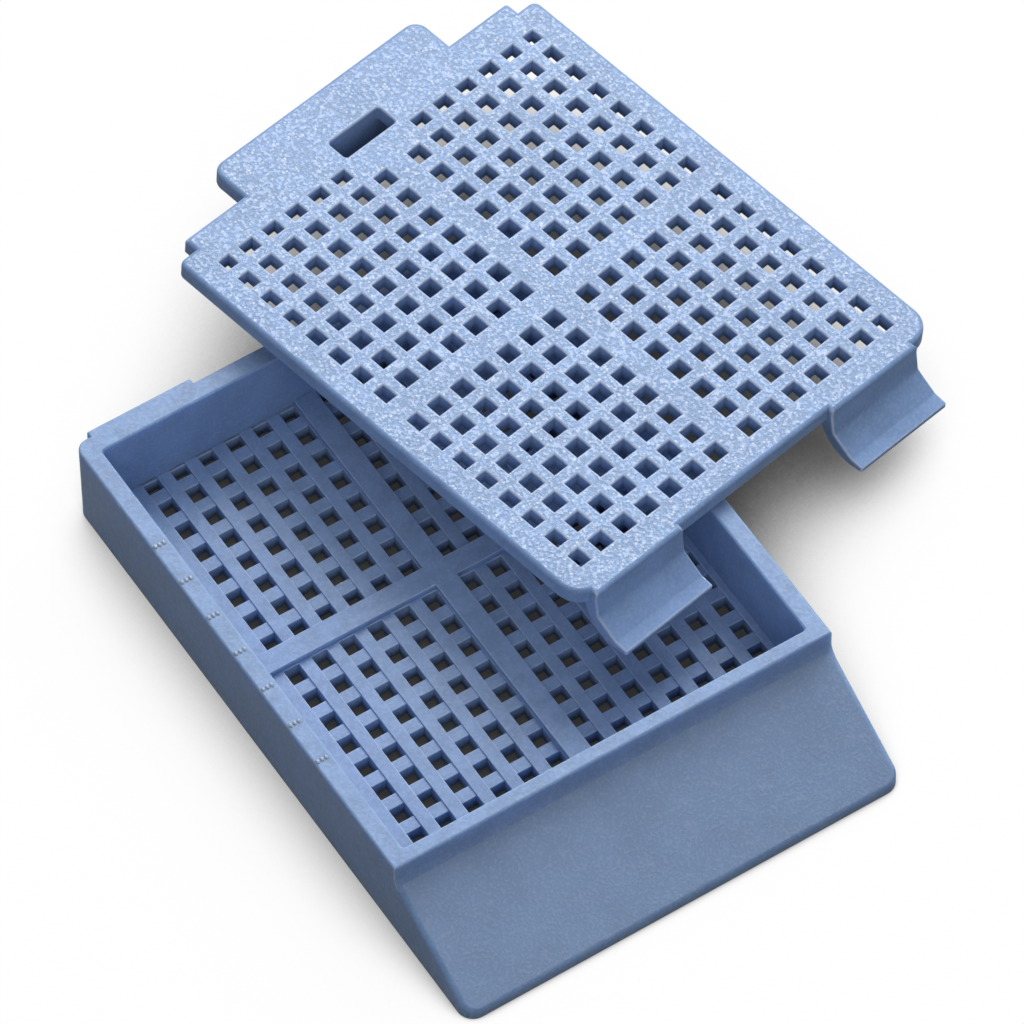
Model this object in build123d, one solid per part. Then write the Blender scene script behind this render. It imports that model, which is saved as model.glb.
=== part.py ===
from build123d import *
import os
from math import tan, radians

# Histology tissue cassette: a perforated tray with a sloping writing face, and its
# separate snap lid, which lies across the tray, turned, tilted and resting on one rim.
#
# Millimetres, +Z up. The origin is the centre of the tray's underside. +Y runs towards
# the rear wall, so the writing face falls away towards -Y.

# ---------------------------------------------------------------- driving dimensions
# Hole pattern, shared by the tray's floor and the lid
pitch = 1.815             # hole to hole, both ways
hole = 1.00               # side of a square hole
columns = 14              # across the width, in two halves
rows = 16                 # along the length, in two halves

# Tray, outside
tray_length = 41.2        # foot of the writing face to the rear pads
tray_width = 28.6
tray_height = 6.2         # rest plane to rim
rear_corner = 0.8         # radius of the rear corners
foot_corner = 1.0         # radius of the corners at the foot
rim_round = 0.15          # rounding of the rim's edges
edge_round = 0.4          # rounding of the writing face's edges

# Tray, walls and floor
side_wall = 1.14
front_wall = 0.94
rear_wall = 1.21          # between the pads
inner_draft = 1.0         # degrees, the pocket narrows downwards
pocket_corner = 0.12
floor_thickness = 1.12
skirt_wall = 1.2          # side walls of the hollow behind the writing face
rib_width = 1.4           # the cross that quarters the floor
rib_height = 0.4
groove_depth = 0.12       # lengthwise groove along each column of holes
tray_column_gap = 0.66    # extra space between the halves of the pattern, across
tray_row_gap = 0.80       # the same, along
tray_rear_margin = 0.17   # rear row's shortened edge to the pocket's rear edge
tray_rear_trim = 0.30     # how much the wall shortens the rear row

# Writing face
face_run = 7.26           # foot to the front of the rim, along Y
foot_height = 0.71        # upright band under the slope
rim_drop = 1.38           # rim's edge down to the top of the slope
face_wall = 1.0           # thickness of the sloping plate
toe_wall = 1.6            # solid stretch behind the foot
drop_fillet = 0.7         # hollow corner between the slope and the rim's front

# Rear wall's two proud pads, with the latch catch between them
pad_inset = 1.10          # pad's outer end to the tray's side
pad_width = 6.8
pad_depth = 0.37
catch_height = 4.1        # underside of the catch above the rest plane
catch_depth = 0.35        # how far the wall steps in under the catch

# Openings that take the lid's hooks
window_clear = 0.25       # each side of a hook
window_length = 1.5       # opening in the floor, behind the front wall
window_height = 2.3       # opening in the front wall, above the floor

# Lid plate
lid_length = 32.9         # front edge to rear edge, without the tab
lid_width = 28.44
lid_thickness = 1.15
lid_front_corner = 1.6
lid_round = 0.28          # rounding of the plate's top edge
notch_width = 1.38        # step at each rear corner
notch_depth = 0.92
notch_corner = 0.5
lid_column_gap = 0.855
lid_row_gap = 0.82
lid_rear_margin = 2.45    # rear row's shortened edge to the rear edge
lid_trim = 0.236          # how much the outermost holes are shortened

# Lid tab, with the slot over the latch
tab_width = 16.4
tab_length = 2.7
tab_corner = 0.9
slot_width = 3.96
slot_length = 1.47
slot_margin = 0.49        # slot to the plate's rear edge
slot_corner = 0.2

# Latch lip under the tab
latch_width = 11.0
latch_wall = 0.9
latch_depth = 3.0
barb_reach = 0.55
barb_height = 0.8
barb_clear = 0.1          # each side, under the slot

# Front hooks of the lid
hook_width = 6.88
hook_spacing = 18.75      # centre to centre
hook_shift = -0.45        # the pair sits a little to the left
hook_wall = 0.9           # at the root, under the plate
hook_ahead = 0.36         # hook's face ahead of the plate's front edge
hook_drop = 1.85          # top of the lid to the bend
hook_lean = 0.26          # how far the face leans forward above the bend
hook_belly = 0.64         # how far the underside bows out from root to lip
flare_run = 1.45          # slanting part below the bend, along Y and along Z
flare_drop = 0.87
lip_run = 0.88            # nearly level lip at the tip
lip_drop = 0.08
lip_thickness = 0.35      # at the tip
lip_swell = 0.15          # extra thickness where the lip meets the flare
bend_round = 0.3

# How the lid lies on the tray
rest_y = 6.0              # place along the right rim where the lid's seat is taken
rest_gap = 0.24           # hair of room over the rim's outer edge
seat_x = -0.64            # the same place on the lid's underside, from its middle
seat_y = -7.85
lid_turn = 12.17          # degrees about Z
lid_roll = 4.06           # degrees down to the right
lid_pitch = 1.16          # degrees down to the front

# ---------------------------------------------------------------- derived places
foot_y = -tray_length / 2
rear_y = tray_length / 2
rim_front_y = foot_y + face_run
pocket_front_y = rim_front_y + front_wall
wall_y = rear_y - pad_depth
pocket_rear_y = wall_y - rear_wall
pocket_width = tray_width - 2 * side_wall
slope_top = tray_height - rim_drop
slope = (slope_top - foot_height) / face_run
hook_xs = [hook_shift - hook_spacing / 2, hook_shift + hook_spacing / 2]
reach = 1.0               # how far cutting shapes run past what they cut


def span(count, gap):
    """Length of a row of holes, from outer edge to outer edge."""
    return (count - 1) * pitch + gap + hole


def places(count, gap):
    """Hole centres along one direction, about zero, with the gap in the middle."""
    middle = (count - 1) / 2
    return [(i - middle) * pitch + (gap / 2 if i > middle else -gap / 2) for i in range(count)]


def box(x0, x1, y0, y1, z0, z1):
    """Box from its limits."""
    return Pos((x0 + x1) / 2, (y0 + y1) / 2, (z0 + z1) / 2) * Box(x1 - x0, y1 - y0, z1 - z0)


def prism_x(points, x0, x1):
    """Outline given as (y, z) points, drawn out from x0 to x1."""
    outline = Polyline(*[(x0, y, z) for y, z in points], close=True)
    return extrude(make_face(outline), amount=x1 - x0, dir=(1, 0, 0))


tray_grid_y = pocket_rear_y - tray_rear_margin + tray_rear_trim - span(rows, tray_row_gap) / 2
lid_rear_y = lid_length / 2
lid_front_y = -lid_length / 2
lid_grid_y = lid_rear_y - lid_rear_margin + lid_trim - span(rows, lid_row_gap) / 2


# ---------------------------------------------------------------- tray
def tray_block():
    """Outside of the tray, cut away over the writing face."""
    plan = Pos(0, (foot_y + wall_y) / 2) * Rectangle(tray_width, wall_y - foot_y)
    plan = fillet(plan.vertices().group_by(Axis.Y)[-1], rear_corner)
    plan = fillet(plan.vertices().group_by(Axis.Y)[0], foot_corner)
    outer = tray_width / 2 - pad_inset
    for side in (-1, 1):
        middle = side * (outer - pad_width / 2)
        plan += Pos(middle, rear_y - pad_depth) * Rectangle(pad_width, 2 * pad_depth)
    block = extrude(plan, amount=tray_height)
    half = tray_width / 2 + reach
    cut = [
        (rim_front_y, tray_height + reach),
        (rim_front_y, slope_top),
        (foot_y - reach, foot_height - slope * reach),
        (foot_y - reach, tray_height + reach),
    ]
    return block - prism_x(cut, -half, half)


def round_writing_face(block):
    """Rounds the slope's convex edges and hollows its corner with the rim."""
    def outline(edge):
        point = edge.center()
        level = foot_height + slope * (point.Y - foot_y)
        return point.Y < rim_front_y - 0.1 and abs(point.Z - level) < 0.05

    def hollow(edge):
        point = edge.center()
        return abs(point.Y - rim_front_y) < 0.01 and abs(point.Z - slope_top) < 0.1
    block = fillet(block.edges().filter_by(outline), edge_round)
    return fillet(block.edges().filter_by(Axis.X).filter_by(hollow), drop_fillet)


def pocket():
    """Inside of the tray, open at the top."""
    depth = tray_height - floor_thickness
    narrowing = depth * tan(radians(inner_draft))
    length = pocket_rear_y - pocket_front_y
    plan = Pos(0, (pocket_rear_y + pocket_front_y) / 2, floor_thickness) * RectangleRounded(
        pocket_width - 2 * narrowing, length - 2 * narrowing, pocket_corner)
    return extrude(plan, amount=depth, taper=-inner_draft)


def face_hollow():
    """Hollow behind the writing face, open underneath."""
    half = tray_width / 2 - skirt_wall
    drop = face_wall * (1 + slope ** 2) ** 0.5
    toe = foot_y + toe_wall
    profile = [
        (toe, -reach),
        (toe, foot_height + slope * toe_wall - drop),
        (rim_front_y, slope_top - drop),
        (rim_front_y, -reach),
    ]
    return prism_x(profile, -half, half)


def hook_windows():
    """Openings through the floor and the front wall that take the lid's hooks."""
    half = hook_width / 2 + window_clear
    front = rim_front_y - reach
    back = pocket_front_y + window_length
    top = floor_thickness + window_height
    centres = [-hook_spacing / 2, hook_spacing / 2]
    return [box(x - half, x + half, front, back, -reach, top) for x in centres]


def latch_catch():
    """Step between the rear pads that the lid's latch snaps under."""
    half = tray_width / 2 - pad_inset - pad_width
    return box(-half, half, wall_y - catch_depth, rear_y + reach, -reach, catch_height)


def floor_ribs():
    """Raised cross that quarters the floor."""
    half = pocket_width / 2
    wide = rib_width / 2
    top = floor_thickness + rib_height
    lengthwise = box(-wide, wide, pocket_front_y, pocket_rear_y, 0, top)
    return lengthwise + box(-half, half, tray_grid_y - wide, tray_grid_y + wide, 0, top)


def floor_grooves():
    """Shallow grooves, as wide as a hole, along each column in each half."""
    length = (span(rows, tray_row_gap) - tray_row_gap - (pitch - hole)) / 2
    shift = (length + tray_row_gap + pitch - hole) / 2
    grooves = []
    for side in (-1, 1):
        for x in places(columns, tray_column_gap):
            spot = Pos(x, tray_grid_y + side * shift, floor_thickness - groove_depth / 2)
            grooves.append(spot * Box(hole, length, groove_depth))
    return grooves


def tray_holes():
    """Square holes through the floor; the rear row is shortened by the wall."""
    tools = []
    for j, y in enumerate(places(rows, tray_row_gap)):
        trim = tray_rear_trim if j == rows - 1 else 0
        for x in places(columns, tray_column_gap):
            spot = Pos(x, tray_grid_y + y - trim / 2)
            tools.append(spot * Rectangle(hole, hole - trim))
    plan = Pos(0, 0, -reach) * Sketch(children=tools)
    return extrude(plan, amount=floor_thickness + 2 * reach)


def make_tray():
    """The whole tray, moulded as one piece."""
    tray = round_writing_face(tray_block())
    tray -= pocket()
    rim = tray.faces().filter_by(Axis.Z).group_by(Axis.Z)[-1]
    tray = fillet(rim.edges(), rim_round)
    tray -= face_hollow()
    tray -= latch_catch()
    tray -= floor_grooves()
    tray += floor_ribs()
    tray -= hook_windows()
    tray -= tray_holes()
    return tray


# ---------------------------------------------------------------- lid, in its own frame
# The lid's own origin is the middle of the plate's top face; +Y towards the tab.
def plate_outline():
    """Plan of the plate with its rear notches and the tab."""
    side = lid_width / 2
    inner = side - notch_width
    tab = tab_width / 2
    tab_y = lid_rear_y + tab_length
    notch_y = lid_rear_y - notch_depth
    right = [(side, lid_front_y), (side, notch_y), (inner, notch_y), (inner, lid_rear_y),
             (tab, lid_rear_y), (tab, tab_y)]
    left = [(-x, y) for x, y in reversed(right)]
    plan = make_face(Polyline(*right, *left, close=True))

    def corners(x, y):
        return [v for v in plan.vertices() if abs(abs(v.X) - x) < 0.01 and abs(v.Y - y) < 0.01]
    plan = fillet(corners(side, lid_front_y), lid_front_corner)
    plan = fillet(corners(side, notch_y), notch_corner)
    plan = fillet(corners(tab, tab_y), tab_corner)
    for x in hook_xs:
        plan += Pos(x, lid_front_y) * Rectangle(hook_width, 2 * hook_ahead)
    return plan


def lid_holes():
    """Square holes through the plate, with the outermost ones shortened."""
    tools = []
    across = places(columns, lid_column_gap)
    for j, y in enumerate(places(rows, lid_row_gap)):
        last_row = j == rows - 1
        for i, x in enumerate(across):
            if last_row and abs(x) < lid_column_gap / 2 + pitch:
                continue
            side = (i == columns - 1) - (i == 0)
            wide = hole - lid_trim * abs(side)
            long = hole - lid_trim * last_row
            spot = Pos(x - side * lid_trim / 2, lid_grid_y + y - last_row * lid_trim / 2)
            tools.append(spot * Rectangle(wide, long))
    plan = Pos(0, 0, -lid_thickness - reach) * Sketch(children=tools)
    return extrude(plan, amount=lid_thickness + 2 * reach)


def hook_section():
    """Section of a front hook, in the plane x = 0."""
    face = lid_front_y - hook_ahead
    under_plate = -lid_thickness
    bend = (face - hook_lean, -hook_drop)
    flare = (bend[0] - flare_run, bend[1] - flare_drop)
    tip = (flare[0] - lip_run, flare[1] - lip_drop)
    lip_under = tip[1] - lip_thickness
    lip_root = Vector(0, flare[0], lip_under - lip_swell)
    root = Vector(0, face + hook_wall, under_plate)
    outward = Vector(1, 0, 0).cross(lip_root - root).normalized()
    belly = (root + lip_root) / 2 + outward * hook_belly
    front = [(root.Y, under_plate / 2), (face, under_plate / 2), bend, flare, tip, (tip[0], lip_under)]
    outline = Polyline(*[(0, y, z) for y, z in front], tuple(lip_root))
    outline += ThreePointArc(lip_root, belly, root)
    outline += Line(tuple(root), (0, root.Y, under_plate / 2))
    return make_face(outline)


def hooks():
    """The two hooks at the plate's front edge."""
    bar = extrude(hook_section(), amount=hook_width, dir=(1, 0, 0))

    def bent(edge):
        point = edge.center()
        ahead = point.Y < lid_front_y - hook_ahead - hook_lean / 2
        return ahead and -hook_drop - flare_drop - 0.01 < point.Z < -hook_drop + 0.01
    bar = fillet(bar.edges().filter_by(Axis.X).filter_by(bent), bend_round)
    return [Pos(x - hook_width / 2) * bar for x in hook_xs]


def latch():
    """Lip under the tab, with the barb that shows through the slot."""
    face = lid_rear_y - slot_margin
    foot = -lid_thickness - latch_depth
    lip = box(-latch_width / 2, latch_width / 2, face, face + latch_wall, foot, -lid_thickness / 2)
    half = slot_width / 2 - barb_clear
    barb = [(face + latch_wall / 2, foot), (face, foot), (face - barb_reach, foot + barb_height),
            (face + latch_wall / 2, foot + barb_height)]
    return lip + prism_x(barb, -half, half)


def lid_slot():
    """Slot through the plate over the barb."""
    centre = lid_rear_y - slot_margin - slot_length / 2
    plan = Pos(0, centre) * RectangleRounded(slot_width, slot_length, slot_corner)
    return extrude(Pos(0, 0, -lid_thickness - reach) * plan, amount=lid_thickness + 2 * reach)


def make_lid():
    """The whole lid, moulded as one piece, in its own frame."""
    lid = extrude(plate_outline(), amount=-lid_thickness)
    rim = lid.faces().filter_by(Axis.Z).group_by(Axis.Z)[-1]
    lid = fillet(rim.edges(), lid_round)
    for hook in hooks():
        lid += hook
    lid -= lid_slot()
    lid += latch()
    lid -= lid_holes()
    return lid


def lay_on_tray(lid):
    """Turns and tilts the lid so that its underside rides on the right rim's outer edge."""
    seat = Pos(tray_width / 2, rest_y, tray_height + rest_gap)
    tilt = Rot(0, 0, lid_turn) * Rot(0, lid_roll, 0) * Rot(lid_pitch, 0, 0)
    return seat * tilt * Pos(-seat_x, -seat_y, lid_thickness) * lid


parts = {
    "cassette_tray": make_tray(),
    "cassette_lid": lay_on_tray(make_lid()),
}
os.makedirs("parts", exist_ok=True)
for name, shape in parts.items():
    export_step(shape, f"parts/{name}.step")
    print(name, round(shape.volume, 2), shape.bounding_box())
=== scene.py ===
"""Looks of a histology tissue cassette: a perforated tray and the snap lid lying across it.

Everything is in metres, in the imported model's frame. The origin is the centre of the
tray's underside, +Z is up, and +Y runs from the foot of the writing face to the rear wall.
"""
from __future__ import annotations

import logging
import math
from dataclasses import dataclass, field
from enum import Enum
from typing import Union

import bmesh
import bpy
from mathutils import Matrix, Vector, geometry


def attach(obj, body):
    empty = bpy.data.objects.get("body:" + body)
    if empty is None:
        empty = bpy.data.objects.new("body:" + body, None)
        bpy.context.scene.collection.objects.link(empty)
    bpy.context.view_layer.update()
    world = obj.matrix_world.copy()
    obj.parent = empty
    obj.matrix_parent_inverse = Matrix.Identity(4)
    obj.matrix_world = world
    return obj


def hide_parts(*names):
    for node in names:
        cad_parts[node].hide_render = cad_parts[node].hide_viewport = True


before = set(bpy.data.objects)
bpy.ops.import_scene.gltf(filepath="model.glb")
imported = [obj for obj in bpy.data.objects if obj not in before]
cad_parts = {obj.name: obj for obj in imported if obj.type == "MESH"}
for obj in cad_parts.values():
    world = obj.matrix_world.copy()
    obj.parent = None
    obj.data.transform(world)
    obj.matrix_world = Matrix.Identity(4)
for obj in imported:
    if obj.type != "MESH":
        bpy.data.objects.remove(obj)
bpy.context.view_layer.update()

log = logging.getLogger("cassette")

MM = 0.001
BODY = "root"
ROOM = "room"
DEPTH = "hole_depth"
UP = Vector((0, 0, 1))
UPRIGHT = 0.3

Colour = tuple[float, float, float]
Point = tuple[float, float, float]
Span = tuple[float, float]
Socket = bpy.types.NodeSocket
Value = Union[float, Socket]


# ---------------------------------------------------------------- node trees
class Graph:
    """A node tree under construction."""

    def __init__(self, tree: bpy.types.NodeTree) -> None:
        """Keeps the tree that nodes are added to."""
        self.tree = tree

    def node(self, kind: str, inputs: dict | None = None, **settings: object) -> bpy.types.Node:
        """Adds a node and fills its sockets.

        Args:
            kind: The node's type name.
            inputs: Socket name or number, and the value or socket that goes in.
            settings: The node's own properties.

        Returns:
            The new node.
        """
        made = self.tree.nodes.new(kind)
        for name, value in settings.items():
            setattr(made, name, value)
        for key, value in (inputs or {}).items():
            if isinstance(value, Socket):
                self.tree.links.new(value, made.inputs[key])
            else:
                made.inputs[key].default_value = value
        return made

    def math(self, operation: str, a: Value, b: Value = 0.0, c: Value = 0.0) -> Socket:
        """Adds a Math node.

        Args:
            operation: The Math node's operation.
            a: First value or socket.
            b: Second value or socket.
            c: Third value or socket, for the operations that have one.

        Returns:
            The node's result.
        """
        return self.node("ShaderNodeMath", {0: a, 1: b, 2: c}, operation=operation).outputs[0]

    def ramp(self, value: Socket, low: float, high: float, out: Span = (0.0, 1.0)) -> Socket:
        """Maps low..high smoothly to a new range.

        Args:
            value: What is mapped.
            low: Value that gives the range's start.
            high: Value that gives the range's end.
            out: The new range.

        Returns:
            The mapped value.
        """
        made = self.node("ShaderNodeMapRange", {
            "Value": value, "From Min": low, "From Max": high, "To Min": out[0], "To Max": out[1],
        }, interpolation_type="SMOOTHSTEP")
        return made.outputs["Result"]

    def blend(self, factor: Value, a: Union[Socket, Colour], b: Union[Socket, Colour]) -> Socket:
        """Mixes two colours.

        Args:
            factor: Share of the second colour.
            a: First colour.
            b: Second colour.

        Returns:
            The mixed colour.
        """
        made = self.node("ShaderNodeMix", {"Factor": factor}, data_type="RGBA")
        sockets = [s for s in made.inputs if s.type == "RGBA"]
        for socket, value in zip(sockets, (a, b)):
            if isinstance(value, Socket):
                self.tree.links.new(value, socket)
            else:
                socket.default_value = (*value, 1.0)
        return next(s for s in made.outputs if s.type == "RGBA")


def shade(colour: Colour, share: float) -> Colour:
    """Makes a colour lighter (share above 1) or darker (below 1)."""
    return tuple(min(1.0, channel * share) for channel in colour)


def pale(colour: Colour, share: float) -> Colour:
    """Mixes a share of white into a colour."""
    return tuple(channel + (1.0 - channel) * share for channel in colour)


# ---------------------------------------------------------------- finishes
GRAIN_SPAN: Span = (0.34, 0.66)
PEAK_HIGHLIGHT_SPAN: Span = (0.7, 1.0)
MOTTLE_SPAN: Span = (0.35, 0.65)
GLINT_SPAN: Span = (0.52, 0.12)
GLINT_COLOUR: Colour = (0.93, 0.96, 1.0)
RUB_SIZE = 0.9 * MM
RUB_SPAN: Span = (0.60, 0.72)
RUB_PALE = 0.45
SLOW_ROUGH = 0.16
GRAIN_ROUGH = 0.10
WAVE_DEPTH = 0.012 * MM
SCATTER: Colour = (0.6, 0.8, 1.0)
WHITE: Colour = (1.0, 1.0, 1.0)


@dataclass(frozen=True)
class PlasticFinish:
    """Moulded acetal with its colour, gloss and surface texture.

    Lengths are in metres. The grain is the texture that the mould's surface leaves; its
    pits get painted shade and its peaks a painted highlight, and glints are painted highlights.
    The painted_well_shade is painted shade down a hole: the colour's brightness at the top and
    bottom of a hole, and well_shade_depths the depths between which it changes.
    """

    name: str
    colour: Colour
    roughness: float = 0.4
    gloss: float = 0.5
    grain_size: float = 0.10 * MM
    grain_depth: float = 0.004 * MM
    pit_painted_shade: float = 0.94
    peak_painted_highlight: float = 0.03
    mottle_size: float = 2.2 * MM
    mottle: float = 0.05
    glint_size: float = 0.0
    glint_share: float = 0.0
    glint_pale: float = 0.5
    scuff: float = 0.0
    translucency: float = 0.5
    reach: float = 0.4 * MM
    painted_well_shade: Span | None = None
    well_shade_depths: Span = (0.0, 1.0)

    def material(self) -> bpy.types.Material:
        """Builds the material.

        Returns:
            A material whose patterns are laid on Object coordinates.
        """
        made = bpy.data.materials.new(self.name)
        made.use_nodes = True
        made.node_tree.nodes.clear()
        graph = Graph(made.node_tree)
        place = graph.node("ShaderNodeTexCoord").outputs["Object"]
        grain = self.grain(graph, place)
        slow = self.noise(graph, place, self.mottle_size, 3.0)
        colour = self.tint(graph, place, grain, slow)
        rough = graph.math("MULTIPLY_ADD", slow, SLOW_ROUGH, self.roughness - SLOW_ROUGH / 2)
        rough = graph.math("MULTIPLY_ADD", grain, -GRAIN_ROUGH, graph.math("ADD", rough, GRAIN_ROUGH / 2))
        normal = self.relief(graph, grain, slow)
        shader = graph.node("ShaderNodeBsdfPrincipled", {
            "Base Color": colour, "Roughness": rough, "Normal": normal, "IOR": 1.48,
            "Specular IOR Level": self.gloss, "Subsurface Weight": self.translucency,
            "Subsurface Radius": SCATTER, "Subsurface Scale": self.reach,
        })
        graph.node("ShaderNodeOutputMaterial", {"Surface": shader.outputs["BSDF"]})
        return made

    def noise(self, graph: Graph, place: Socket, size: float, detail: float = 1.0) -> Socket:
        """Adds soft noise with features of a given size.

        Args:
            graph: The tree being built.
            place: Coordinates in metres.
            size: Typical feature, in metres.
            detail: How many finer layers are added.

        Returns:
            The noise, about 0.5.
        """
        made = graph.node("ShaderNodeTexNoise", {
            "Vector": place, "Scale": 1.0 / size, "Detail": detail, "Roughness": 0.55,
        })
        return made.outputs["Fac"]

    def grain(self, graph: Graph, place: Socket) -> Socket:
        """Adds the mould's grain: rounded peaks of mixed sizes.

        Args:
            graph: The tree being built.
            place: Coordinates in metres.

        Returns:
            Height from 0 (pit) to 1 (peak).
        """
        peaks = self.noise(graph, place, 2.0 * self.grain_size, 2.0)
        return graph.ramp(peaks, *GRAIN_SPAN)

    def tint(self, graph: Graph, place: Socket, grain: Socket, slow: Socket) -> Socket:
        """Colours the grain, slow mottling and scuffs, and paints light and shade: a painted highlight on the
        grain's peaks and in glints, painted shade in its pits and darker towards the bottom of holes.

        Args:
            graph: The tree being built.
            place: Coordinates in metres.
            grain: Height of the grain.
            slow: Slow noise for the mottling.

        Returns:
            The surface colour.
        """
        dull = graph.blend(graph.ramp(slow, *MOTTLE_SPAN),
                           shade(self.colour, 1.0 - self.mottle), shade(self.colour, 1.0 + self.mottle))
        # Painted shade in the grain's pits, and a painted highlight towards white on its peaks.
        pits = graph.node("ShaderNodeHueSaturation", {"Value": self.pit_painted_shade, "Color": dull})
        colour = graph.blend(grain, pits.outputs["Color"], dull)
        peak = graph.ramp(grain, *PEAK_HIGHLIGHT_SPAN, (0.0, self.peak_painted_highlight))
        colour = graph.blend(peak, colour, WHITE)
        # Glints: painted highlights, near-white dots on a share of random spots.
        if self.glint_share:
            points = graph.node("ShaderNodeTexVoronoi", {"Vector": place, "Scale": 1.0 / self.glint_size})
            dot = graph.ramp(points.outputs["Distance"], *GLINT_SPAN)
            chance = graph.node("ShaderNodeSeparateColor", {"Color": points.outputs["Color"]})
            lit = graph.ramp(chance.outputs["Red"], 1.0 - self.glint_share, 1.0, (0.0, self.glint_pale))
            colour = graph.blend(graph.math("MULTIPLY", dot, lit), colour, GLINT_COLOUR)
        # Painted shade: the colour is darker towards the bottom of a hole.
        if self.painted_well_shade:
            depth = graph.node("ShaderNodeAttribute", attribute_name=DEPTH).outputs["Fac"]
            light = graph.ramp(depth, *self.well_shade_depths, self.painted_well_shade)
            colour = graph.node("ShaderNodeHueSaturation", {"Value": light, "Color": colour}).outputs["Color"]
        if self.scuff:
            rubbed = self.noise(graph, place, RUB_SIZE, 4.0)
            share = graph.ramp(rubbed, *RUB_SPAN, (0.0, self.scuff))
            colour = graph.blend(share, colour, pale(self.colour, RUB_PALE))
        return colour

    def relief(self, graph: Graph, grain: Socket, slow: Socket) -> Socket:
        """Adds the grain's bumps over a slow waviness.

        Args:
            graph: The tree being built.
            grain: Height of the grain.
            slow: Slow noise.

        Returns:
            The bent normal.
        """
        wavy = graph.node("ShaderNodeBump", {"Height": slow, "Distance": WAVE_DEPTH, "Strength": 1.0})
        rough = graph.node("ShaderNodeBump", {
            "Height": grain, "Distance": self.grain_depth, "Strength": 1.0,
            "Normal": wavy.outputs["Normal"],
        })
        return rough.outputs["Normal"]


ACETAL = (0.250, 0.378, 0.635)

TRAY_BODY = PlasticFinish("tray_satin_wall", ACETAL, roughness=0.46, gloss=0.04, translucency=0.7,
                          reach=1.5 * MM, mottle=0.05, scuff=0.05)
TRAY_RIM = PlasticFinish("tray_satin_rim", ACETAL, roughness=0.38, gloss=0.4, grain_size=0.12 * MM,
                         grain_depth=0.006 * MM, mottle=0.08, mottle_size=1.1 * MM, scuff=0.10)
TRAY_FLOOR = PlasticFinish("tray_floor", ACETAL, roughness=0.42, gloss=0.4, mottle=0.07, mottle_size=1.4 * MM)
# The writing face's colour is greyer than the rest of the tray: painted sheen on the matte face.
TRAY_FACE = PlasticFinish("tray_writing_face", (0.264, 0.380, 0.600), roughness=0.55, gloss=0.4,
                          grain_size=0.09 * MM, grain_depth=0.011 * MM, pit_painted_shade=0.955, peak_painted_highlight=0.05,
                          mottle=0.03, mottle_size=3.0 * MM, scuff=0.12)
# Rounded edges: paler colour, a painted highlight along them, with real gloss.
TRAY_EDGE_HIGHLIGHT = PlasticFinish("tray_edge_painted_highlight", pale(ACETAL, 0.16), roughness=0.20, gloss=0.8, mottle=0.03)
LID_BODY = PlasticFinish("lid_smooth_side", ACETAL, roughness=0.46, gloss=0.04, mottle=0.05, scuff=0.05)
# The top's colour is lighter than the lid's sides: painted sheen on the sparked grain.
LID_TOP = PlasticFinish("lid_sparked_top_painted_sheen", (0.300, 0.462, 0.765), roughness=0.34, grain_size=0.12 * MM,
                        grain_depth=0.026 * MM, pit_painted_shade=0.75, peak_painted_highlight=0.17, mottle=0.06,
                        mottle_size=3.0 * MM, glint_size=0.20 * MM, glint_share=0.70, glint_pale=0.62)
LID_EDGE_HIGHLIGHT = PlasticFinish("lid_edge_painted_highlight", pale(ACETAL, 0.16), roughness=0.20, gloss=0.8, mottle=0.03)

# Hole walls: colour painted darker towards the bottom of each hole, painted shade in the recess.
TRAY_HOLE = PlasticFinish("tray_hole_wall", ACETAL, roughness=0.55, gloss=0.1, translucency=0.7,
                          reach=0.9 * MM, painted_well_shade=(1.0, 0.5), well_shade_depths=(0.2, 1.0))
LID_HOLE = PlasticFinish("lid_hole_wall", ACETAL, roughness=0.55, gloss=0.1, translucency=0.7,
                         reach=0.9 * MM, painted_well_shade=(1.0, 0.5), well_shade_depths=(0.2, 1.0))


# ---------------------------------------------------------------- where finishes go
@dataclass(frozen=True)
class Region:
    """Part of a moulding that has its own finish: faces that look one way, within two planes."""

    name: str
    finish: PlasticFinish
    facing: Vector
    spread: float
    low: float
    high: float

    def sizes(self) -> dict[str, object]:
        """The tree's inputs for this region, by name."""
        return {
            f"{self.name} facing": self.facing,
            f"{self.name} spread": math.cos(math.radians(self.spread)),
            f"{self.name} low": self.low,
            f"{self.name} high": self.high,
        }


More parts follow.
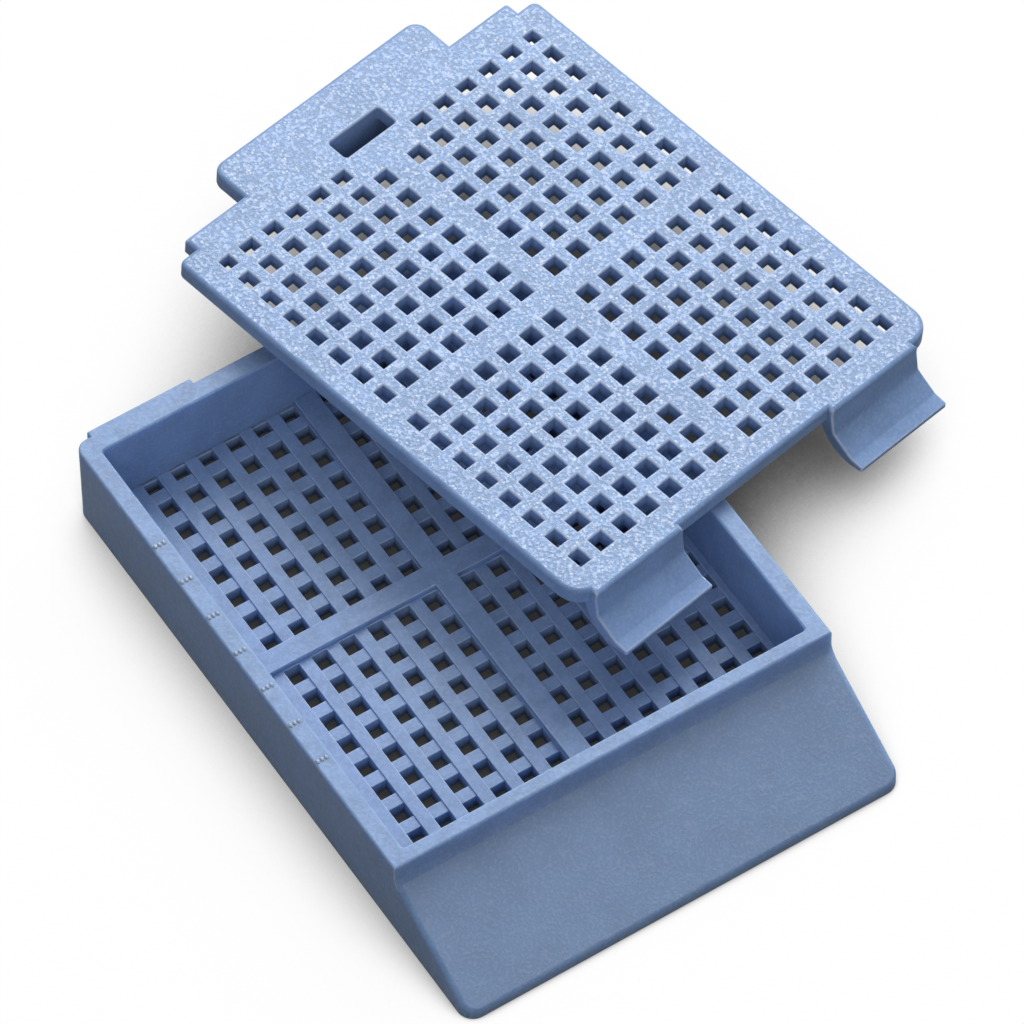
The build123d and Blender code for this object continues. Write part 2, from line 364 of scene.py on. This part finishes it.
class MouldingTree:
    """Geometry Nodes tree that finds a moulding's sharp edges and lays out its finishes."""

    def __init__(self, name: str) -> None:
        """Starts an empty tree.

        Args:
            name: The tree's name.
        """
        self.tree = bpy.data.node_groups.new(name, "GeometryNodeTree")
        self.graph = Graph(self.tree)
        self.values: dict[str, object] = {}
        self.tree.interface.new_socket("Geometry", in_out="INPUT", socket_type="NodeSocketGeometry")
        self.tree.interface.new_socket("Geometry", in_out="OUTPUT", socket_type="NodeSocketGeometry")
        self.start = self.graph.node("NodeGroupInput")
        self.mesh: Socket = self.start.outputs["Geometry"]

    def size(self, name: str, value: object) -> Socket:
        """Adds a named input to the tree.

        Args:
            name: The input's name.
            value: A number, a count, a vector or a material.

        Returns:
            The socket inside the tree that gives it.
        """
        kinds = {int: "NodeSocketInt", float: "NodeSocketFloat", Vector: "NodeSocketVector",
                 bpy.types.Material: "NodeSocketMaterial"}
        self.tree.interface.new_socket(name, in_out="INPUT", socket_type=kinds[type(value)])
        self.values[name] = value
        return self.start.outputs[name]

    def mark_edges(self, sharp: float) -> None:
        """Gives outer edges as much bevel weight as they have room for, and keeps inner corners crisp.

        Args:
            sharp: The angle between two faces from which an edge counts, in degrees.
        """
        limit = self.size("Sharp angle", math.radians(sharp))
        angle = self.graph.node("GeometryNodeInputMeshEdgeAngle").outputs["Signed Angle"]
        room = self.graph.node("GeometryNodeInputNamedAttribute", {"Name": ROOM}, data_type="FLOAT")
        weight = self.graph.math("MULTIPLY", self.graph.math("GREATER_THAN", angle, limit),
                                 room.outputs["Attribute"])
        inner = self.graph.math("LESS_THAN", angle, self.graph.math("MULTIPLY", limit, -1.0))
        self.keep("bevel_weight_edge", "FLOAT", weight)
        self.keep("sharp_edge", "BOOLEAN", inner)

    def keep(self, name: str, kind: str, value: Socket) -> None:
        """Stores a value on the edges.

        Args:
            name: The attribute's name.
            kind: Its data type.
            value: What is stored.
        """
        kept = self.graph.node("GeometryNodeStoreNamedAttribute", {
            "Geometry": self.mesh, "Name": name, "Value": value}, data_type=kind, domain="EDGE")
        self.mesh = kept.outputs["Geometry"]

    def lay(self, region: Region, material: bpy.types.Material) -> None:
        """Sets a region's material.

        Args:
            region: Which faces.
            material: Their finish.
        """
        sizes = {name: self.size(name, value) for name, value in region.sizes().items()}
        finish = self.size(f"{region.name} finish", material)
        along = self.along("GeometryNodeInputNormal", "True Normal", sizes[f"{region.name} facing"])
        looks = self.graph.math("GREATER_THAN", along, sizes[f"{region.name} spread"])
        height = self.along("GeometryNodeInputPosition", "Position", sizes[f"{region.name} facing"])
        above = self.graph.math("GREATER_THAN", height, sizes[f"{region.name} low"])
        below = self.graph.math("LESS_THAN", height, sizes[f"{region.name} high"])
        chosen = self.graph.math("MULTIPLY", looks, self.graph.math("MULTIPLY", above, below))
        dressed = self.graph.node("GeometryNodeSetMaterial", {
            "Geometry": self.mesh, "Selection": chosen, "Material": finish})
        self.mesh = dressed.outputs["Geometry"]

    def lay_holes(self, low: Vector, high: Vector, material: bpy.types.Material) -> None:
        """Sets the material of the upright faces within a box, which are the walls of the holes.

        Args:
            low: The box's lowest corner.
            high: The box's highest corner.
            material: Their finish.
        """
        corners = [self.size("Holes from", low), self.size("Holes to", high)]
        upright = self.size("Upright", UPRIGHT)
        finish = self.size("Hole finish", material)
        rise = self.along("GeometryNodeInputNormal", "True Normal", self.size("Upwards", UP))
        chosen = self.graph.math("LESS_THAN", self.graph.math("ABSOLUTE", rise), upright)
        place = self.graph.node("GeometryNodeInputPosition").outputs["Position"]
        for bound, test in zip(corners, ("GREATER_THAN", "LESS_THAN")):
            here, limit = (self.graph.node("ShaderNodeSeparateXYZ", {"Vector": spot}).outputs
                           for spot in (place, bound))
            for axis in range(3):
                inside = self.graph.math(test, here[axis], limit[axis])
                chosen = self.graph.math("MULTIPLY", chosen, inside)
        dressed = self.graph.node("GeometryNodeSetMaterial", {
            "Geometry": self.mesh, "Selection": chosen, "Material": finish})
        self.mesh = dressed.outputs["Geometry"]

    def along(self, kind: str, output: str, direction: Socket) -> Socket:
        """Measures a field along a direction.

        Args:
            kind: The field's node.
            output: The node's output.
            direction: A unit vector.

        Returns:
            The dot product.
        """
        field_value = self.graph.node(kind).outputs[output]
        return self.graph.node("ShaderNodeVectorMath", {0: field_value, 1: direction},
                               operation="DOT_PRODUCT").outputs["Value"]

    def add_marks(self, marks: "RimMarks", material: bpy.types.Material) -> None:
        """Adds short rows of tiny pips, repeated along a line.

        Args:
            marks: Where they are and their sizes.
            material: Their finish.
        """
        pip = self.graph.node("GeometryNodeMeshIcoSphere", {
            "Radius": self.size("Pip radius", marks.pip_radius), "Subdivisions": 3})
        flat = self.graph.node("GeometryNodeTransform", {
            "Geometry": pip.outputs["Mesh"], "Scale": self.size("Pip shape", Vector(marks.pip_shape))})
        short = self.graph.node("GeometryNodeMeshLine", {
            "Count": self.size("Pips in a mark", marks.pips),
            "Offset": self.size("Pip step", Vector(marks.pip_step))}, mode="OFFSET")
        mark = self.graph.node("GeometryNodeInstanceOnPoints", {
            "Points": short.outputs["Mesh"], "Instance": flat.outputs["Geometry"]})
        long = self.graph.node("GeometryNodeMeshLine", {
            "Count": self.size("Marks", marks.count),
            "Start Location": self.size("First mark", Vector(marks.first)),
            "Offset": self.size("Mark step", Vector(marks.step))}, mode="OFFSET")
        rows = self.graph.node("GeometryNodeInstanceOnPoints", {
            "Points": long.outputs["Mesh"], "Instance": mark.outputs["Instances"]})
        real = self.graph.node("GeometryNodeRealizeInstances", {"Geometry": rows.outputs["Instances"]})
        smooth = self.graph.node("GeometryNodeSetMaterial", {
            "Geometry": real.outputs["Geometry"], "Material": self.size("Pip finish", material)})
        both = self.graph.node("GeometryNodeJoinGeometry")
        for part in (smooth.outputs["Geometry"], self.mesh):
            self.tree.links.new(part, both.inputs["Geometry"])
        self.mesh = both.outputs["Geometry"]

    def finish(self) -> None:
        """Ends the tree."""
        self.graph.node("NodeGroupOutput", {"Geometry": self.mesh})

    def put_on(self, piece: bpy.types.Object) -> None:
        """Adds the tree to a piece as a modifier and sets its inputs.

        Args:
            piece: The object.
        """
        modifier = piece.modifiers.new(self.tree.name, "NODES")
        modifier.node_group = self.tree
        for item in self.tree.interface.items_tree:
            if item.item_type == "SOCKET" and item.name in self.values:
                modifier[item.identifier] = self.values[item.name]


# ---------------------------------------------------------------- mouldings
class Slot(Enum):
    """The record's material slots."""

    TRAY = "tray_plastic"
    LID = "lid_plastic"


@dataclass(frozen=True)
class HolePattern:
    """Grid of square holes in two halves each way. Millimetres, in the moulding's own frame."""

    columns: int = 14
    rows: int = 16
    pitch: float = 1.815
    column_gap: float = 0.66
    row_gap: float = 0.80
    middle_y: float = 0.0
    side: float = 1.0
    surround: float = 0.6
    slack: float = 0.02
    bottom: float = 0.0
    top: float = 1.0

    def box(self) -> tuple[Vector, Vector]:
        """The box around all the holes: its lowest and highest corners."""
        across = self.centres(self.columns, self.column_gap, 0.0)
        along = self.centres(self.rows, self.row_gap, self.middle_y)
        edge = self.surround * self.side
        return (Vector((across[0] - edge, along[0] - edge, self.bottom - self.slack)),
                Vector((across[-1] + edge, along[-1] + edge, self.top + self.slack)))

    def depth(self, z: float) -> float:
        """How far down a hole a height is, from 0 at the top to 1 at the bottom."""
        return min(1.0, max(0.0, (self.top - z) / (self.top - self.bottom)))

    def centres(self, count: int, gap: float, middle: float) -> list[float]:
        """Hole centres along one direction.

        Args:
            count: How many holes.
            gap: Extra space between the halves.
            middle: Centre of the pattern.

        Returns:
            The places, in order.
        """
        half = (count - 1) / 2
        return [middle + (i - half) * self.pitch + math.copysign(gap / 2, i - half) for i in range(count)]

    def lines(self) -> list[tuple[Vector, Vector]]:
        """A point and a normal for each line of hole centres, both ways."""
        across = self.centres(self.columns, self.column_gap, 0.0)
        along = self.centres(self.rows, self.row_gap, self.middle_y)
        return ([(Vector((x, 0, 0)), Vector((1, 0, 0))) for x in across]
                + [(Vector((0, y, 0)), Vector((0, 1, 0))) for y in along])


@dataclass
class Moulding:
    """One moulded piece: a CAD node's form with its real rounded edges and finishes.

    It is worked on in its own frame, in millimetres, and put in place at the end.
    """

    node: str
    piece: str
    slot: Slot
    base: PlasticFinish
    # Finish of the rounded edges, paler as a painted highlight.
    edge: PlasticFinish
    hole: PlasticFinish
    holes: HolePattern
    regions: list[Region] = field(default_factory=list)
    edge_round: float = 0.055
    edge_steps: int = 2
    sharp: float = 35.0
    room_share: float = 2.15
    facing: float = 0.5
    bend: float = math.radians(35.0)
    weld: float = 0.0001
    flat: float = 1.0
    even_weight: int = 80

    def place(self) -> Matrix:
        """From the moulding's own frame, in millimetres, to the whole frame, in metres."""
        return Matrix.Scale(MM, 4)

    def build(self) -> bpy.types.Object:
        """Makes the piece and puts it in place of its CAD node.

        Returns:
            The finished piece.
        """
        shape = self.clean_copy()
        self.dress(shape)
        self.round_edges(shape)
        done = self.settle(shape)
        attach(done, BODY)
        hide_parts(self.node)
        log.info("%s: %d faces, finish %s", done.name, len(done.data.polygons), self.base.name)
        return done

    def clean_copy(self) -> bpy.types.Object:
        """Copies the CAD node's mesh and joins its triangles into plain cells between the holes.

        Returns:
            A new object with the merged mesh, in the moulding's own frame.
        """
        work = bmesh.new()
        work.from_mesh(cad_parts[self.node].data)
        work.transform(self.place().inverted())
        bmesh.ops.remove_doubles(work, verts=work.verts, dist=self.weld)
        for point, normal in self.holes.lines():
            cut = bmesh.ops.bisect_plane(work, geom=work.verts[:] + work.edges[:] + work.faces[:],
                                         plane_co=point, plane_no=normal, dist=self.weld)
            for edge in cut["geom_cut"]:
                if isinstance(edge, bmesh.types.BMEdge):
                    edge.seam = True
        bmesh.ops.dissolve_limit(work, angle_limit=math.radians(self.flat), use_dissolve_boundaries=False,
                                 verts=work.verts, edges=work.edges, delimit={"SEAM"})
        for face in work.faces:
            face.smooth = True
            face.material_index = 0
        self.measure_room(work)
        mesh = bpy.data.meshes.new(f"{self.piece}_shape")
        work.to_mesh(mesh)
        work.free()
        shape = bpy.data.objects.new(f"{self.piece}_shape", mesh)
        bpy.context.scene.collection.objects.link(shape)
        return shape

    def measure_room(self, work: bmesh.types.BMesh) -> None:
        """Notes how much of the rounding each edge has room for, from 0 to 1.

        Args:
            work: The merged copy.
        """
        room = work.edges.layers.float.new(ROOM)
        sharp = math.radians(self.sharp)
        outer = {edge for edge in work.edges if edge.is_manifold and edge.calc_face_angle_signed() > sharp}
        need = self.room_share * self.edge_round
        beside = {edge: need for edge in outer}
        around = {corner: need for corner in work.verts}
        for loop in (loop for edge in outer for loop in edge.link_loops):
            start, end = loop.vert.co, loop.link_loop_next.vert.co
            inward = loop.face.normal.cross(end - start).normalized()
            for corner in loop.face.verts:
                if corner in loop.edge.verts:
                    continue
                share = geometry.intersect_point_line(corner.co, start, end)[1]
                gap = corner.co - start.lerp(end, min(1.0, max(0.0, share)))
                if gap.dot(inward) < self.facing * gap.length:
                    continue
                beside[loop.edge] = min(beside[loop.edge], gap.length)
                around[corner] = min(around[corner], gap.length)
        for run in self.smooth_runs(outer):
            least = min(min(beside[edge], *(around[corner] for corner in edge.verts)) for edge in run)
            for edge in run:
                edge[room] = least / need
        for edge in work.edges:
            edge.seam = False

    def smooth_runs(self, outer: set[bmesh.types.BMEdge]) -> list[list[bmesh.types.BMEdge]]:
        """Sorts sharp edges into runs that go on without a sharp turn, as round a curve.

        Args:
            outer: The sharp outer edges.

        Returns:
            The runs. All edges of a run get the same rounding.
        """
        runs, left = [], set(outer)
        while left:
            run = [left.pop()]
            for edge in run:
                for corner in edge.verts:
                    onward = corner.co - edge.other_vert(corner).co
                    for other in corner.link_edges:
                        turn = onward.angle(other.other_vert(corner).co - corner.co)
                        if other in left and turn < self.bend:
                            left.discard(other)
                            run.append(other)
            runs.append(run)
        return runs

    def dress(self, shape: bpy.types.Object) -> None:
        """Lays out the finishes and marks the sharp edges with a Geometry Nodes tree.

        Args:
            shape: The merged copy.
        """
        finishes = [self.base, self.edge, self.hole, *(region.finish for region in self.regions)]
        made = [finish.material() for finish in finishes]
        for material in made:
            shape.data.materials.append(material)
        tree = MouldingTree(f"{self.piece}_moulding")
        tree.mark_edges(self.sharp)
        tree.lay_holes(*self.holes.box(), made[2])
        for region, material in zip(self.regions, made[3:]):
            tree.lay(region, material)
        self.extra(tree, made[1])
        tree.finish()
        tree.put_on(shape)

    def extra(self, tree: MouldingTree, material: bpy.types.Material) -> None:
        """Adds what only some mouldings have.

        Args:
            tree: The moulding's tree.
            material: The edges' finish, paler as a painted highlight.
        """

    def round_edges(self, shape: bpy.types.Object) -> None:
        """Rounds the marked edges and keeps flat faces flat.

        Args:
            shape: The dressed copy.
        """
        bevel = shape.modifiers.new("rounded edges", "BEVEL")
        bevel.width = self.edge_round
        bevel.segments = self.edge_steps
        bevel.limit_method = "WEIGHT"
        bevel.use_clamp_overlap = False
        # The rounded faces take the paler edge finish, a painted highlight.
        bevel.material = 1
        even = shape.modifiers.new("flat faces", "WEIGHTED_NORMAL")
        even.mode = "FACE_AREA"
        even.weight = self.even_weight
        even.keep_sharp = True

    def settle(self, shape: bpy.types.Object) -> bpy.types.Object:
        """Turns the modified copy into a plain mesh in its place.

        Args:
            shape: The copy with its modifiers.

        Returns:
            The piece, with no modifiers.
        """
        view = bpy.context.evaluated_depsgraph_get()
        mesh = bpy.data.meshes.new_from_object(shape.evaluated_get(view), depsgraph=view)
        mesh.name = self.piece
        # Depth down the holes, which the hole walls' painted shade reads.
        depth = mesh.attributes.new(DEPTH, "FLOAT", "POINT")
        depth.data.foreach_set("value", [self.holes.depth(corner.co.z) for corner in mesh.vertices])
        mesh.transform(self.place())
        for index in reversed(range(len(mesh.materials))):
            if mesh.materials[index] is None:
                mesh.materials.pop(index=index)
        done = bpy.data.objects.new(self.piece, mesh)
        bpy.context.scene.collection.objects.link(done)
        bpy.data.objects.remove(shape)
        return done


@dataclass(frozen=True)
class RimMarks:
    """Short marks across the left rim, each a row of tiny raised pips. Millimetres."""

    count: int = 7
    first: Point = (-14.06, -5.13, 6.19)
    step: Point = (0.0, 2.83, 0.0)
    pips: int = 3
    pip_step: Point = (0.275, 0.0, 0.0)
    pip_radius: float = 0.14
    pip_shape: Point = (0.85, 1.2, 0.8)


@dataclass
class Tray(Moulding):
    """The perforated tray with its writing face."""

    marks: RimMarks = field(default_factory=RimMarks)

    def extra(self, tree: MouldingTree, material: bpy.types.Material) -> None:
        """Adds the marks on the left rim.

        Args:
            tree: The tray's tree.
            material: Their finish, the edges' paler one, a painted highlight.
        """
        tree.add_marks(self.marks, material)


@dataclass
class Lid(Moulding):
    """The lid, turned about Z, rolled down to the right and pitched down to the front.

    Its own frame has its origin in the middle of the top face, with +Y to the tab.
    """

    turn: float = 12.17
    roll: float = 4.06
    pitch: float = 1.16
    seat: Point = (14.3, 6.0, 6.44)
    seat_on_lid: Point = (-0.64, -7.85, -1.15)

    def place(self) -> Matrix:
        """From the lid's own frame, in millimetres, to the whole frame, in metres."""
        turn = Matrix.Rotation(math.radians(self.turn), 4, "Z")
        roll = Matrix.Rotation(math.radians(self.roll), 4, "Y")
        pitch = Matrix.Rotation(math.radians(self.pitch), 4, "X")
        lift = Matrix.Translation(self.seat)
        lay = lift @ turn @ roll @ pitch @ Matrix.Translation(-Vector(self.seat_on_lid))
        return Matrix.Scale(MM, 4) @ lay


def make_tray() -> Tray:
    """Sets out the tray.

    Returns:
        The tray, ready to build.
    """
    slope = Vector((0, -0.492, 0.871)).normalized()
    return Tray(
        "cassette_tray", "tray_moulded", Slot.TRAY, TRAY_BODY, TRAY_EDGE_HIGHLIGHT, TRAY_HOLE,
        HolePattern(column_gap=0.66, row_gap=0.80, middle_y=4.6375, top=1.12),
        [
            Region("Rim", TRAY_RIM, UP, 20.0, 5.9, 7.0),
            Region("Floor", TRAY_FLOOR, UP, 20.0, 0.8, 2.0),
            Region("Writing face", TRAY_FACE, slope, 12.0, 0.0, 100.0),
        ],
        edge_round=0.05,
    )


def make_lid() -> Lid:
    """Sets out the lid.

    Returns:
        The lid, ready to build.
    """
    return Lid(
        "cassette_lid", "lid_moulded", Slot.LID, LID_BODY, LID_EDGE_HIGHLIGHT, LID_HOLE,
        HolePattern(column_gap=0.855, row_gap=0.82, middle_y=-0.2865, bottom=-1.15, top=0.0),
        [
            Region("Top", LID_TOP, UP, 8.0, -0.05, 1.0),
        ],
        edge_round=0.13, edge_steps=3,
    )


# ---------------------------------------------------------------- studio
@dataclass(frozen=True)
class Softbox:
    """A square lamp, aimed at the object.

    Azimuth is in degrees from +Y towards +X. Level is the brightness that it alone gives a
    white surface facing it.
    """

    name: str
    azimuth: float
    elevation: float
    distance: float
    width: float
    height: float
    level: float
    colour: Colour = WHITE

    def place(self, aim: Vector) -> bpy.types.Object:
        """Makes the lamp.

        Args:
            aim: The point that it looks at.

        Returns:
            The lamp's object.
        """
        lamp = bpy.data.lights.new(self.name, "AREA")
        lamp.shape = "RECTANGLE"
        lamp.size = self.width
        lamp.size_y = self.height
        lamp.energy = self.level * math.pi ** 2 * self.distance ** 2
        lamp.color = self.colour
        made = bpy.data.objects.new(self.name, lamp)
        bpy.context.scene.collection.objects.link(made)
        away = direction(self.azimuth, self.elevation)
        made.location = aim + away * self.distance
        made.rotation_euler = away.to_track_quat("Z", "Y").to_euler()
        return made


def direction(azimuth: float, elevation: float) -> Vector:
    """Unit vector from azimuth (from +Y towards +X) and elevation, in degrees."""
    turn, rise = math.radians(azimuth), math.radians(elevation)
    return Vector((math.sin(turn) * math.cos(rise), math.cos(turn) * math.cos(rise), math.sin(rise)))


def seen_directly(graph: Graph) -> Socket:
    """Tells rays that show a background from rays that light the object.

    Args:
        graph: The tree being built.

    Returns:
        One for camera, mirror and see-through rays, else nought.
    """
    rays = graph.node("ShaderNodeLightPath").outputs
    mirrored = graph.math("MAXIMUM", rays["Is Glossy Ray"], rays["Is Transmission Ray"])
    return graph.math("MAXIMUM", rays["Is Camera Ray"], mirrored)


@dataclass
class Studio:
    """Pale floor, soft lamps and a plain surround.

    The floor glows for rays that see it, and gets darker the more is closed off above it.
    """

    floor_size: float = 4.0
    floor_colour: Colour = (0.05, 0.05, 0.05)
    floor_glow: float = 0.95
    shadow_glow: float = 0.02
    surround: float = 0.24
    shadow_reach: float = 16.0 * MM
    shadow_span: Span = (0.22, 0.80)
    shadow_samples: int = 24
    band: Span = (0.10, 0.26)
    drop: float = 0.01 * MM
    horizon: float = 0.40
    lamps: tuple[Softbox, ...] = (
        Softbox("key_softbox", 44.0, 42.0, 0.7, 0.62, 0.36, 0.93),
        Softbox("top_softbox", 20.0, 80.0, 0.7, 0.6, 0.6, 0.14),
        Softbox("front_softbox", 200.0, 42.0, 0.8, 0.5, 0.5, 0.16),
    )

    def build(self, aim: Vector) -> None:
        """Makes the whole studio.

        Args:
            aim: The object's middle.
        """
        floor = self.floor()
        for lamp in self.lamps:
            lamp.place(aim)
        self.surround_light()
        log.info("studio: floor and %d lamps", len(self.lamps))

    def floor(self) -> bpy.types.Object:
        """Makes the floor.

        Returns:
            The floor's object.
        """
        half = self.floor_size / 2
        mesh = bpy.data.meshes.new("floor")
        corners = [(-half, -half, 0), (half, -half, 0), (half, half, 0), (-half, half, 0)]
        mesh.from_pydata(corners, [], [(0, 1, 2, 3)])
        mesh.materials.append(self.floor_finish())
        floor = bpy.data.objects.new("floor", mesh)
        floor.location.z = -self.drop
        bpy.context.scene.collection.objects.link(floor)
        return floor

    def floor_finish(self) -> bpy.types.Material:
        """White where the floor is open, darker the more the object closes off what is above it.

        Returns:
            The floor's material.
        """
        made = bpy.data.materials.new("floor_paper")
        made.use_nodes = True
        made.node_tree.nodes.clear()
        graph = Graph(made.node_tree)
        paper = graph.node("ShaderNodeBsdfDiffuse", {"Color": (*self.floor_colour, 1.0)})
        open_sky = graph.node("ShaderNodeAmbientOcclusion", {"Distance": self.shadow_reach},
                              samples=self.shadow_samples)
        clear = graph.ramp(open_sky.outputs["AO"], *self.shadow_span, (self.shadow_glow, self.floor_glow))
        glow = graph.node("ShaderNodeEmission", {"Color": (*WHITE, 1.0), "Strength": clear})
        both = graph.node("ShaderNodeAddShader", {0: paper.outputs[0], 1: glow.outputs[0]})
        mix = graph.node("ShaderNodeMixShader", {
            0: seen_directly(graph), 1: paper.outputs[0], 2: both.outputs[0]})
        graph.node("ShaderNodeOutputMaterial", {"Surface": mix.outputs[0]})
        return made

    def surround_light(self) -> None:
        """Lights the object softly from all around, with a pale band at the horizon."""
        world = bpy.data.worlds.new("surround")
        bpy.context.scene.world = world
        world.use_nodes = True
        world.node_tree.nodes.clear()
        graph = Graph(world.node_tree)
        way = graph.node("ShaderNodeTexCoord").outputs["Generated"]
        rise = graph.math("ABSOLUTE", graph.node("ShaderNodeSeparateXYZ", {"Vector": way}).outputs["Z"])
        strength = graph.ramp(rise, *self.band, (self.horizon, self.surround))
        soft = graph.node("ShaderNodeBackground", {"Color": (*WHITE, 1.0), "Strength": strength})
        graph.node("ShaderNodeOutputWorld", {"Surface": soft.outputs[0]})


@dataclass(frozen=True)
class Viewpoint:
    """The camera: a long lens, looking down along the tray from the front left.

    Azimuth is where the camera looks, in degrees from +Y towards +X.
    """

    aim: Point = (4.95196 * MM, 4.83951 * MM, 3.1 * MM)
    azimuth: float = 32.06709
    elevation: float = 55.48456
    roll: float = -0.77078
    distance: float = 583.1704 * MM
    lens: float = 366.07
    sensor: float = 36.0

    def place(self) -> bpy.types.Object:
        """Makes the camera and shows the scene through it.

        Returns:
            The camera's object.
        """
        look = -direction(self.azimuth + 180.0, self.elevation)
        turn = math.radians(self.azimuth)
        level = Vector((math.cos(turn), -math.sin(turn), 0.0))
        upright = level.cross(look)
        lean = math.radians(self.roll)
        right = level * math.cos(lean) + upright * math.sin(lean)
        back = -look
        up = back.cross(right)
        data = bpy.data.cameras.new("camera")
        data.sensor_width = self.sensor
        data.lens = self.lens
        data.clip_start = 0.01
        data.clip_end = 20.0
        made = bpy.data.objects.new("camera", data)
        bpy.context.scene.collection.objects.link(made)
        axes = Matrix((right, up, back)).transposed().to_4x4()
        made.matrix_world = Matrix.Translation(Vector(self.aim) - look * self.distance) @ axes
        bpy.context.scene.camera = made
        log.info("camera: lens %.1f mm, %.0f mm away", self.lens, self.distance / MM)
        return made


def main() -> None:
    """Builds the camera, the studio and the two mouldings."""
    logging.basicConfig(level=logging.INFO, format="%(name)s: %(message)s")
    view = Viewpoint()
    view.place()
    studio = Studio()
    for moulding in (make_tray(), make_lid()):
        moulding.build()
    studio.build(Vector(view.aim))
    bpy.context.scene.view_settings.view_transform = "Standard"


if __name__ == "__main__":
    main()
